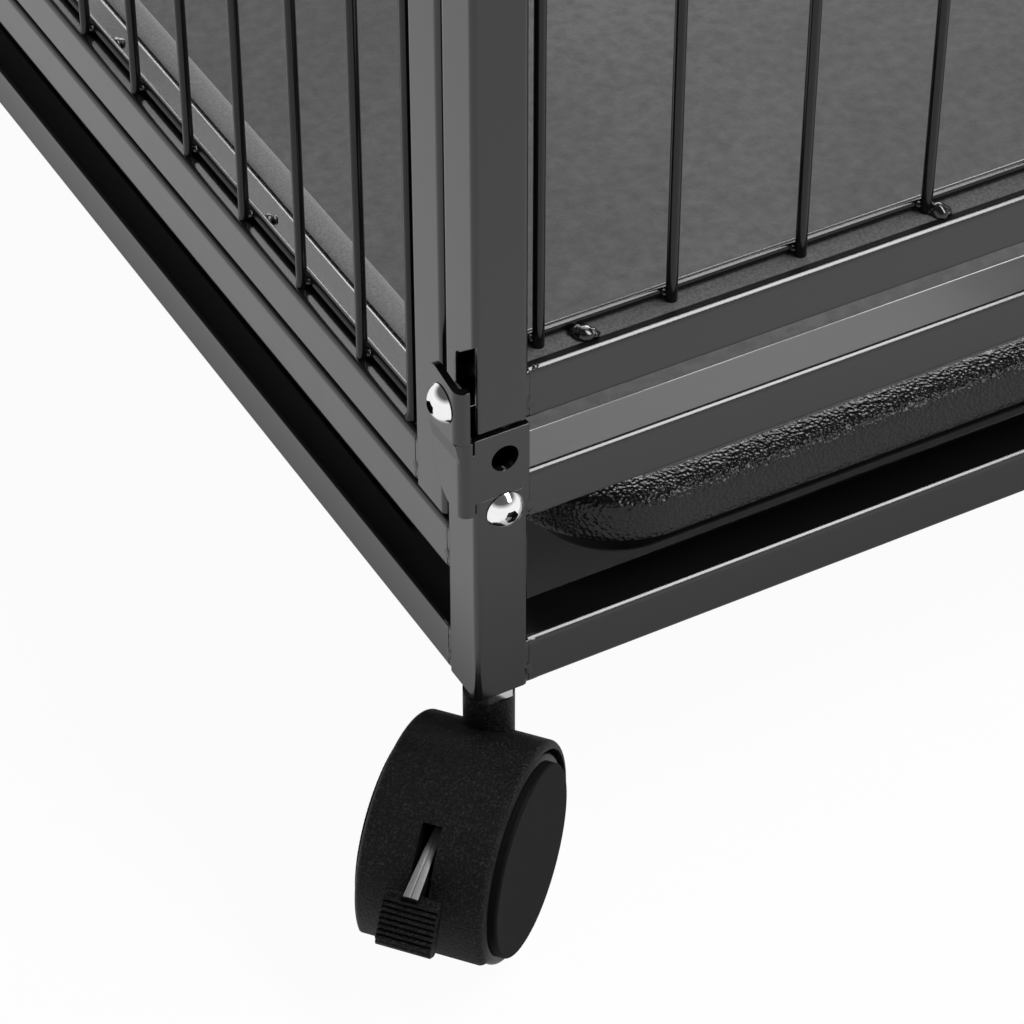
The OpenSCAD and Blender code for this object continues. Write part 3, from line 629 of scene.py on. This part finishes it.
# Tray rim: its section is (distance in from the outer edge, height above the tray's underside), in mm
TRAY_X = HALF_W - 0.034
TRAY_Y = HALF_L - 0.0015
TRAY_Z = BASE_Z + 0.0223
TRAY_CORNER = 0.045
RIM_TOP = (
    (1.4, 19.6), (0.4, 20.2), (0.15, 23.0), (0.2, 26.0), (0.3, 29.0), (0.45, 31.5), (0.9, 33.4),
    (1.7, 34.9), (2.9, 35.9), (4.4, 36.5), (6.4, 37.0), (8.6, 37.35), (10.8, 37.6), (12.6, 37.6),
    (13.6, 36.9), (14.3, 35.0), (16.0, 21.0), (17.6, 6.0), (18.6, 3.2), (20.5, 2.5),
)
RIM_BACK = (
    (20.5, 0.2), (17.6, 0.0), (15.6, 3.0), (14.0, 19.0), (12.6, 33.0), (11.0, 35.0), (6.0, 34.6), (3.6, 33.2),
    (2.7, 31.0), (2.4, 26.0), (2.3, 20.4),
)
RIM_STEP = 0.0035
# Faces of the rim's section that take the painted light along the long sides
RIM_BAND_FROM = 8
RIM_BAND_TO = 15
RIM_WAVY_TO = 14
RIM_LONG_SIDE = 0.95
RIPPLES_PER_M = 330
RIPPLE_STRETCH = 0.06
RIPPLE_DEEP = 0.10
WAVES_PER_M = 26
WAVE_LAYER = 3.0
WAVE_DEEP = 0.12


def rim_path():
    """Points round the tray's outer edge with their outward directions."""
    path = []
    straight_x = TRAY_X - TRAY_CORNER
    straight_y = TRAY_Y - TRAY_CORNER
    turns = round(TRAY_CORNER * math.pi / 2 / RIM_STEP)
    corners = ((1, 1, straight_x), (-1, 1, straight_y), (-1, -1, straight_x), (1, -1, straight_y))
    for k, (sx, sy, run) in enumerate(corners):
        centre = Vector((sx * straight_x, sy * straight_y))
        for i in range(turns):
            angle = math.pi / 2 * (k + i / turns)
            out = Vector((math.cos(angle), math.sin(angle)))
            path.append((centre + out * TRAY_CORNER, out))
        angle = math.pi / 2 * (k + 1)
        out = Vector((math.cos(angle), math.sin(angle)))
        ahead = Vector((-out.y, out.x))
        steps = round(2 * run / RIM_STEP)
        for i in range(steps):
            path.append((centre + out * TRAY_CORNER + ahead * (2 * run * i / steps), out))
    return path


def tray_rim_piece():
    """Turned-down rim of the tray with a leathery, slightly wavy lip, in place of the plain CAD rim."""
    bm = bmesh.new()
    profile = RIM_TOP + RIM_BACK
    path = rim_path()
    rings = []
    for at, out in path:
        ring = []
        for k, (inward, up) in enumerate(profile):
            spot = Vector((at.x - out.x * inward * MM, at.y - out.y * inward * MM, TRAY_Z + up * MM))
            if 0 < k < RIM_WAVY_TO:
                spots = (spot.x * RIPPLES_PER_M, spot.y * RIPPLES_PER_M, up * RIPPLE_STRETCH)
                ripple = noise.noise(Vector(spots))
                wave = noise.noise(Vector((spot.x * WAVES_PER_M, spot.y * WAVES_PER_M, WAVE_LAYER)))
                press = (RIPPLE_DEEP * (ripple - 1) + WAVE_DEEP * (wave - 1)) * MM
                spot += Vector((out.x * press, out.y * press, press))
            ring.append(bm.verts.new(spot))
        rings.append(ring)
    count = len(profile)
    for (_, out), a, b in zip(path, rings, rings[1:] + rings[:1]):
        on_long = abs(out.x) > RIM_LONG_SIDE
        for i in range(count):
            j = (i + 1) % count
            face = bm.faces.new((a[i], b[i], b[j], a[j]))
            # painted shade: the section's back faces, under the rim, take the darker copy of the plastic
            if i >= len(RIM_TOP) - 1:
                face.material_index = 1
            # painted light: the rim's top along the long sides takes the paler copy
            elif on_long and RIM_BAND_FROM <= i < RIM_BAND_TO:
                face.material_index = 2
    piece = mesh_piece("tray_rim_moulding", bm, [TRAY, TRAY_BACK_SHADE, RIM_BAND_LIGHT], "tray")
    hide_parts("tray_rims", "tray_corners")


# Pivot collars: the section is (radius, distance inside the post's face), in mm
COLLAR_PROFILE = (
    (3.2, -3.75), (4.9, -3.75), (5.3, -3.4), (5.3, -0.5), (5.0, -0.1), (4.7, 0.1), (4.7, 3.4), (4.4, 3.8),
    (3.2, 3.8),
)
COLLAR_STEPS = 40


def collar_pieces():
    """Turned collars on the end panels' pivot screws, between the bracket's ear and the post."""
    for body, sy in (("rear_end", 1), ("front_end", -1)):
        bm = bmesh.new()
        for sx in (-1, 1):
            rings = []
            for i in range(COLLAR_STEPS):
                angle = 2 * math.pi * i / COLLAR_STEPS
                ring = []
                for radius, inside in COLLAR_PROFILE:
                    ring.append(bm.verts.new((
                        sx * (HALF_W - inside * MM),
                        sy * (HALF_L - TUBE / 2) + radius * MM * math.cos(angle),
                        PIVOT_Z + radius * MM * math.sin(angle),
                    )))
                rings.append(ring)
            count = len(COLLAR_PROFILE)
            for a, b in zip(rings, rings[1:] + rings[:1]):
                for i in range(count):
                    j = (i + 1) % count
                    bm.faces.new((a[i], b[i], b[j], a[j]))
        mesh_piece(f"{body}_pivot_collars", bm, PIN, body)


# Welds: a seam's section is (distance along the rail, depth below its face), in mm. Half lengths are in mm,
# too: of a seam's bead and a crossing's drop along the rail, into it and upwards, of the others along x, y, z
SEAM_PROFILE = (
    (-4.6, 0.05), (-3.4, 0.01), (-2.4, 0.02), (-1.6, 0.09), (-0.8, 0.14), (0.0, 0.12), (0.8, 0.03),
    (1.6, -0.015), (2.6, 0.01), (3.6, 0.05), (3.6, 0.5), (-0.2, 1.9), (-4.6, 0.5),
)
SEAM_SHOWN = 10
SEAM_FADE = 1.5 * MM
SEAM_STEP = 1.6 * MM
SEAM_SUNK = 0.45
SEAM_DEEP = (-0.03, 0.05)
SEAM_SIDE = (-0.10, 0.10)
SEAM_LEAN = 0.4 * MM
BEAD_HEIGHT = 0.3
BEAD_DEEP = 0.35
BEAD_HALF = (1.5, 0.65, 2.8)
TOP_BEAD_AT = (2.0, 1.6, 1.2)
TOP_BEAD_HALF = (3.0, 1.3, 1.3)
LUMP_BROAD = (0.38, 1.3)
LUMP_FINE = (0.20, 3.5)
TACK_DROPS = ((0.0, 0.0, 1.0), (0.35, 0.7, 0.75), (-0.7, -0.25, 0.6))
CROSSING_BESIDE = 1.9 * MM
CROSSING_HALF = (1.5, 1.7, 1.6)
END_TACK_EVERY = 3
END_TACK_BESIDE = (15.5 * MM, 3.0 * MM)
END_TACK_DEEP = 7.0 * MM
END_TACK_UP = 0.7 * MM
END_TACK_HALF = (3.6, 4.2, 2.8)
SIDE_TACKS = 7
SIDE_TACK_FROM = -0.397
SIDE_TACK_STEP = 0.127
SIDE_TACK_SHIFT = 4
SIDE_TACK_BEHIND = 1.2 * MM
SIDE_TACK_UP = 0.5 * MM
SIDE_TACK_HALF = (2.3, 2.4, 1.9)
WIRE_STEPS = 16
WIRE_FOOT = ((0.0, 3.0), (0.7, 2.5), (1.8, 2.1), (4.0, 2.0))
WIRE_UNEVEN = 0.12


def lump(bm, at, half, rng, detail=2):
    """Irregular drop of weld metal about a point; half gives its half lengths in metres."""
    made = bmesh.ops.create_icosphere(bm, subdivisions=detail, radius=1.0)
    shift = Vector((rng.uniform(0, 50), rng.uniform(0, 50), 0))
    for vert in made["verts"]:
        swell = 1
        for height, per_radius in (LUMP_BROAD, LUMP_FINE):
            swell += height * noise.noise(vert.co * per_radius + shift)
        vert.co = Vector([a + c * h * swell for a, c, h in zip(at, vert.co, half)])


def tack(bm, at, across, inward, half, rng):
    """Three drops run together: the middle one, one towards the wire and one beside it."""
    half = [h * MM for h in half]
    for a, d, size in TACK_DROPS:
        spot = at + across * (a * half[0]) + inward * (d * half[1])
        lump(bm, spot, [size * h for h in half], rng)


def crossing(bm, at, axis, rng):
    """Small drop where a bar meets a rod that runs along the axis."""
    along, deep, up = [h * MM for h in CROSSING_HALF]
    half = (along, deep, up) if axis == "x" else (deep, along, up)
    lump(bm, at, half, rng, 1)


def seam(bm, at, along, inward, low, high, rng):
    """Dressed weld in the groove between a post's rounded corner and a rail's end, sunk at both ends."""
    steps = max(2, round((high - low) / SEAM_STEP))
    levels = [(low + (high - low) * i / steps, 0.0) for i in range(steps + 1)]
    levels = [(low - SEAM_FADE, SEAM_SUNK)] + levels + [(high + SEAM_FADE, SEAM_SUNK)]
    rows = []
    for z, sunk in levels:
        deep = rng.uniform(*SEAM_DEEP)
        side = rng.uniform(*SEAM_SIDE)
        row = []
        for k, (a, d) in enumerate(SEAM_PROFILE):
            jitter = deep if 2 < k < SEAM_SHOWN - 3 else 0.0
            spot = at + along * ((a + side) * MM) + inward * ((d + jitter + sunk) * MM)
            row.append(bm.verts.new((spot.x, spot.y, z)))
        rows.append(row)
    loft(bm, rows)
    for row in rows:
        for k in (0, SEAM_SHOWN - 1):
            mark_sharp(row[k])
    bead = at + inward * (BEAD_DEEP * MM)
    half = [(BEAD_HALF[0] * abs(a) + BEAD_HALF[1] * abs(d)) * MM for a, d in zip(along, inward)]
    half[2] = BEAD_HALF[2] * MM
    lump(bm, Vector((bead.x, bead.y, low + BEAD_HEIGHT * (high - low))), half, rng)


def mark_sharp(vert):
    """Keeps a seam's shown surface from shading into its back."""
    for edge in vert.link_edges:
        other = edge.other_vert(vert)
        if abs(other.co.x - vert.co.x) + abs(other.co.y - vert.co.y) < SEAM_LEAN:
            edge.smooth = False


def rail_seams(bm, axis, reach, cross, low, high, rng):
    """Seams at both ends of the two rails of one height; axis is the one that the rails run along."""
    for a in (-1, 1):
        for c in (-1, 1):
            if axis == "x":
                spot = Vector((a * reach, c * cross, 0))
                along = Vector((-a, 0, 0))
                inward = Vector((0, -c, 0))
            else:
                spot = Vector((c * cross, a * reach, 0))
                along = Vector((0, -a, 0))
                inward = Vector((-c, 0, 0))
            seam(bm, spot, along, inward, low, high, rng)


def base_welds(rng):
    bm = bmesh.new()
    end_reach = HALF_W - TUBE
    long_reach = HALF_L - TUBE
    for low, high in ((BASE_Z + TUBE_R, BASE_Z + TUBE - TUBE_R), (END_RAIL_Z + TUBE_R, PLATE_LOW)):
        rail_seams(bm, "x", end_reach, HALF_L, low, high, rng)
    for low in (BASE_Z, LONG_RAIL_Z):
        rail_seams(bm, "y", long_reach, HALF_W, low + TUBE_R, low + TUBE - TUBE_R, rng)
    mesh_piece("base_welds", bm, PAINT, "base")


def end_welds(body, sy, spans, rng):
    """Seams of an end panel's rails with a bead on top of the lower ones, tacks of its rods and drops at its
    bars' crossings."""
    bm = bmesh.new()
    inward = Vector((0, -sy, 0))
    for low in (END_Z, PANEL_TOP - TUBE):
        for sx in (-1, 1):
            spot = Vector((sx * (HALF_W - TUBE), sy * HALF_L, 0))
            seam(bm, spot, Vector((-sx, 0, 0)), inward, low + TUBE_R, low + TUBE - TUBE_R, rng)
            if low == END_Z:
                across, deep, below = [a * MM for a in TOP_BEAD_AT]
                bead = Vector((spot.x - sx * across, sy * (HALF_L - deep), low + TUBE - below))
                lump(bm, bead, [h * MM for h in TOP_BEAD_HALF], rng)
    for first, last in spans:
        grid_welds(bm, first, last, sy, END_Z + TUBE, PANEL_TOP - TUBE, rng)
    mesh_piece(f"{body}_welds", bm, PAINT, body)


def end_bar_x():
    span = 2 * (HALF_W - TUBE - END_BAR_EDGE)
    return [-span / 2 + i * span / (END_BARS - 1) for i in range(END_BARS)]


def grid_welds(bm, first, last, sy, low, high, rng):
    """Welds of the bars and rods between two x values on an end's face."""
    inward = Vector((0, -sy, 0))
    bars = [x for x in end_bar_x() if first < x < last]
    depth = END_BAR_DEPTH + ROD_BEHIND / 2
    for x in bars:
        for z in (low + WIRE_R, (low + high) / 2, high - WIRE_R):
            crossing(bm, Vector((x + CROSSING_BESIDE, sy * (HALF_L - depth), z)), "x", rng)
    for i, x in enumerate(bars[::-END_TACK_EVERY]):
        for z, up in ((low, 1), (high, -1)):
            beside = END_TACK_BESIDE[i % 2]
            spot = Vector((x - beside, sy * (HALF_L - END_TACK_DEEP), z + up * END_TACK_UP))
            tack(bm, spot, Vector((1, 0, 0)), inward, END_TACK_HALF, rng)


def side_welds(body, sx, low, rng):
    """Seams of a side panel's rails, tacks behind its rods and drops at its bars' crossings."""
    bm = bmesh.new()
    inward = Vector((-sx, 0, 0))
    for z in (low, PANEL_TOP - TUBE):
        for sy in (-1, 1):
            spot = Vector((sx * HALF_W, sy * (SIDE_HALF - TUBE), 0))
            seam(bm, spot, Vector((0, -sy, 0)), inward, z + TUBE_R, z + TUBE - TUBE_R, rng)
    span = 2 * (SIDE_HALF - TUBE)
    step = span / (SIDE_BARS + 1)
    foot = low + TUBE
    top = PANEL_TOP - TUBE
    depth = SIDE_BAR_DEPTH + ROD_BEHIND / 2
    for i in range(SIDE_BARS):
        y = -span / 2 + (i + 1) * step
        for z in (foot + WIRE_R, (foot + top) / 2, top - WIRE_R):
            crossing(bm, Vector((sx * (HALF_W - depth), y + CROSSING_BESIDE, z)), "y", rng)
    behind = SIDE_BAR_DEPTH + ROD_BEHIND + WIRE_R + SIDE_TACK_BEHIND
    for i in range(SIDE_TACKS):
        y = SIDE_TACK_FROM + i * SIDE_TACK_STEP
        for z, up in ((foot, 1), (top, -1)):
            shift = rng.uniform(-SIDE_TACK_SHIFT, SIDE_TACK_SHIFT) * MM
            spot = Vector((sx * (HALF_W - behind), y + shift, z + up * SIDE_TACK_UP))
            tack(bm, spot, Vector((0, 1, 0)), inward, SIDE_TACK_HALF, rng)
    mesh_piece(f"{body}_welds", bm, PAINT, body)


def end_wires(body, sx, low, rng):
    """Last wire beside each post of a side panel, with the fillets of weld at its ends and its crossings."""
    bm = bmesh.new()
    foot = low + TUBE
    top = PANEL_TOP - TUBE
    heights = [(foot + z * MM, r * MM) for z, r in WIRE_FOOT]
    heights += [(top - z * MM, r * MM) for z, r in WIRE_FOOT[::-1]]
    for sy in (-1, 1):
        x = sx * (HALF_W - SIDE_BAR_DEPTH)
        y = sy * (SIDE_HALF - TUBE - END_WIRE_IN)
        rings = []
        for z, radius in heights:
            ring = []
            for i in range(WIRE_STEPS):
                angle = 2 * math.pi * i / WIRE_STEPS
                uneven = rng.uniform(-WIRE_UNEVEN, WIRE_UNEVEN) * MM if radius > WIRE_R else 0.0
                reach = radius + uneven
                ring.append(bm.verts.new((x + reach * math.cos(angle), y + reach * math.sin(angle), z)))
            rings.append(ring)
        loft(bm, rings)
        for z in (foot + WIRE_R, (foot + top) / 2, top - WIRE_R):
            depth = SIDE_BAR_DEPTH + ROD_BEHIND / 2
            crossing(bm, Vector((sx * (HALF_W - depth), y - sy * CROSSING_BESIDE, z)), "y", rng)
    mesh_piece(f"{body}_end_wires", bm, WIRE, body)


def door_welds(rng):
    bm = bmesh.new()
    grid_welds(bm, -DOOR_HALF + TUBE, DOOR_HALF - TUBE, -1, DOOR_LOW + TUBE, DOOR_HIGH - TUBE, rng)
    mesh_piece("door_welds", bm, PAINT, "door")


def weld_pieces():
    rng = random.Random(SEED)
    inner = HALF_W - TUBE
    base_welds(rng)
    side_welds("right_side", 1, LOW_SIDE_Z, rng)
    side_welds("left_side", -1, HIGH_SIDE_Z, rng)
    end_welds("rear_end", 1, [(-inner, inner)], rng)
    end_welds("front_end", -1, [(-inner, -WING_FROM), (WING_FROM, inner)], rng)
    door_welds(rng)
    end_wires("right_side", 1, LOW_SIDE_Z, rng)
    end_wires("left_side", -1, HIGH_SIDE_Z, rng)


# Stage: half sizes of the shadow painted on the floor under the crate, and of the shadow painted into the
# floor's reflections beside it
FLOOR_SHADOW_INSIDE = (0.275, 0.418)
FLOOR_WHITE = (0.300, 0.450)
REFLECTED_SHADOW_X = (0.395, 0.425)
REFLECTED_SHADOW_Y = (0.600, 0.750)
REFLECTED_SHADOW_LEAST = 0.45
FLOOR_SIZE = 40.0
FLOOR_SHADOW_GREYS = (0.45, 0.86)
GLOW_SHARE = 0.96
SOFT_LIGHT = 0.18
CEILING = 0.10
HORIZON_RISE = (0.25, 0.60)
CORNER_AIM = (0.35, 0.54, 0.2)
LAMP_REACH = 3.2
LAMPS = (
    ("back_softbox", (-0.42, -0.69, 0.60), (2.2, 1.7), 2.5, False),
    ("back_strip", (-0.55, -0.80, 0.28), (1.8, 0.9), 8.0, False),
    ("left_softbox", (-0.46, 0.093, 0.883), (1.70, 0.84), 13.0, True),
    ("front_softbox", (-0.46, 0.509, 0.727), (1.36, 0.84), 13.0, True),
)


def band(tree, value, start, end, least=0.0):
    """least below start, 1 above end, of a coordinate's absolute value."""
    made = tree.nodes.new("ShaderNodeMapRange")
    tree.links.new(math_node(tree, "ABSOLUTE", value, 0.0), made.inputs["Value"])
    made.inputs["From Min"].default_value = start
    made.inputs["From Max"].default_value = end
    made.inputs["To Min"].default_value = least
    return made.outputs["Result"]


def make_floor():
    """Pale floor that shows as white, apart from a painted shadow under the crate's tray, where its colour is
    darker and it does not glow. In reflections it is dimmer beside the crate, a painted shadow as well."""
    bm = bmesh.new()
    bmesh.ops.create_grid(bm, x_segments=1, y_segments=1, size=FLOOR_SIZE)
    mesh = bpy.data.meshes.new("floor")
    bm.to_mesh(mesh)
    bm.free()
    floor = bpy.data.objects.new("floor", mesh)
    bpy.context.scene.collection.objects.link(floor)
    mat = bpy.data.materials.new("pale_floor")
    mat.use_nodes = True
    tree = mat.node_tree
    tree.nodes.clear()
    out = tree.nodes.new("ShaderNodeOutputMaterial")
    diffuse = tree.nodes.new("ShaderNodeBsdfDiffuse")
    glow = tree.nodes.new("ShaderNodeEmission")
    glow.inputs["Color"].default_value = (1, 1, 1, 1)
    split = tree.nodes.new("ShaderNodeSeparateXYZ")
    tree.links.new(tree.nodes.new("ShaderNodeTexCoord").outputs["Object"], split.inputs[0])
    # painted shadow: 0 under the crate, 1 beyond it; it darkens the floor's colour and takes away its glow
    outside_painted_shadow = math_node(
        tree,
        "MAXIMUM",
        band(tree, split.outputs["X"], FLOOR_SHADOW_INSIDE[0], FLOOR_WHITE[0]),
        band(tree, split.outputs["Y"], FLOOR_SHADOW_INSIDE[1], FLOOR_WHITE[1]),
    )
    painted_shadow_grey = mix_colours(tree, outside_painted_shadow, grey(FLOOR_SHADOW_GREYS[0]), grey(FLOOR_SHADOW_GREYS[1]))
    tree.links.new(painted_shadow_grey, diffuse.inputs["Color"])
    # painted shadow in reflections: the glow that reflected rays see dims towards the crate
    near = math_node(
        tree,
        "MAXIMUM",
        band(tree, split.outputs["X"], REFLECTED_SHADOW_X[0], REFLECTED_SHADOW_X[1], REFLECTED_SHADOW_LEAST),
        band(tree, split.outputs["Y"], REFLECTED_SHADOW_Y[0], REFLECTED_SHADOW_Y[1], REFLECTED_SHADOW_LEAST),
    )
    path = tree.nodes.new("ShaderNodeLightPath")
    tree.links.new(math_node(tree, "MAXIMUM", path.outputs["Is Camera Ray"], near), glow.inputs["Strength"])
    shown = math_node(tree, "MULTIPLY", seen_directly(tree), outside_painted_shadow)
    share = math_node(tree, "MULTIPLY", shown, GLOW_SHARE)
    mix = tree.nodes.new("ShaderNodeMixShader")
    tree.links.new(share, mix.inputs[0])
    tree.links.new(diffuse.outputs[0], mix.inputs[1])
    tree.links.new(glow.outputs[0], mix.inputs[2])
    tree.links.new(mix.outputs[0], out.inputs["Surface"])
    mesh.materials.append(mat)


def seen_directly(tree):
    """1 for camera, glossy and transmission rays."""
    path = tree.nodes.new("ShaderNodeLightPath")
    first = math_node(tree, "MAXIMUM", path.outputs["Is Camera Ray"], path.outputs["Is Glossy Ray"])
    return math_node(tree, "MAXIMUM", first, path.outputs["Is Transmission Ray"])


def make_world():
    """Soft even light; directly and in reflections the horizon is white and the ceiling darker."""
    world = bpy.data.worlds.new("studio")
    bpy.context.scene.world = world
    world.use_nodes = True
    tree = world.node_tree
    tree.nodes.clear()
    out = tree.nodes.new("ShaderNodeOutputWorld")
    soft = tree.nodes.new("ShaderNodeBackground")
    soft.inputs["Color"].default_value = (1, 1, 1, 1)
    soft.inputs["Strength"].default_value = SOFT_LIGHT
    white = tree.nodes.new("ShaderNodeBackground")
    white.inputs["Color"].default_value = (1, 1, 1, 1)
    split = tree.nodes.new("ShaderNodeSeparateXYZ")
    tree.links.new(tree.nodes.new("ShaderNodeTexCoord").outputs["Generated"], split.inputs[0])
    height = tree.nodes.new("ShaderNodeMapRange")
    tree.links.new(split.outputs["Z"], height.inputs["Value"])
    height.inputs["From Min"].default_value = HORIZON_RISE[0]
    height.inputs["From Max"].default_value = HORIZON_RISE[1]
    height.inputs["To Min"].default_value = 1.0
    height.inputs["To Max"].default_value = CEILING
    tree.links.new(height.outputs["Result"], white.inputs["Strength"])
    mix = tree.nodes.new("ShaderNodeMixShader")
    tree.links.new(seen_directly(tree), mix.inputs[0])
    tree.links.new(soft.outputs[0], mix.inputs[1])
    tree.links.new(white.outputs[0], mix.inputs[2])
    tree.links.new(mix.outputs[0], out.inputs["Surface"])


def area_lamp(name, way, size, radiance, arched):
    """Softbox in a direction from the photographed corner; its power follows from how bright it looks.
    The long side of an arched one lies in a plane across the crate."""
    data = bpy.data.lights.new(name, "AREA")
    data.shape = "RECTANGLE"
    data.size = size[0]
    data.size_y = size[1]
    data.energy = radiance * math.pi * size[0] * size[1]
    lamp = bpy.data.objects.new(name, data)
    bpy.context.scene.collection.objects.link(lamp)
    ahead = Vector(way).normalized()
    lamp.location = Vector(CORNER_AIM) + ahead * LAMP_REACH
    lamp.rotation_mode = "QUATERNION"
    if arched:
        long_way = Vector((0.0, ahead.z, -ahead.y)).normalized()
        turned = Matrix((long_way, ahead.cross(long_way), ahead)).transposed()
        lamp.rotation_quaternion = turned.to_quaternion()
    else:
        lamp.rotation_quaternion = (-ahead).to_track_quat("-Z", "Y")
    lamp.visible_camera = False


make_camera()
dress_nodes()
dress_wheels()
dress_sockets()
dress_rail_tops()
brake_pieces()
tray_rim_piece()
collar_pieces()
weld_pieces()
make_floor()
make_world()
for lamp_values in LAMPS:
    area_lamp(*lamp_values)
bpy.context.scene.view_settings.view_transform = "Standard"
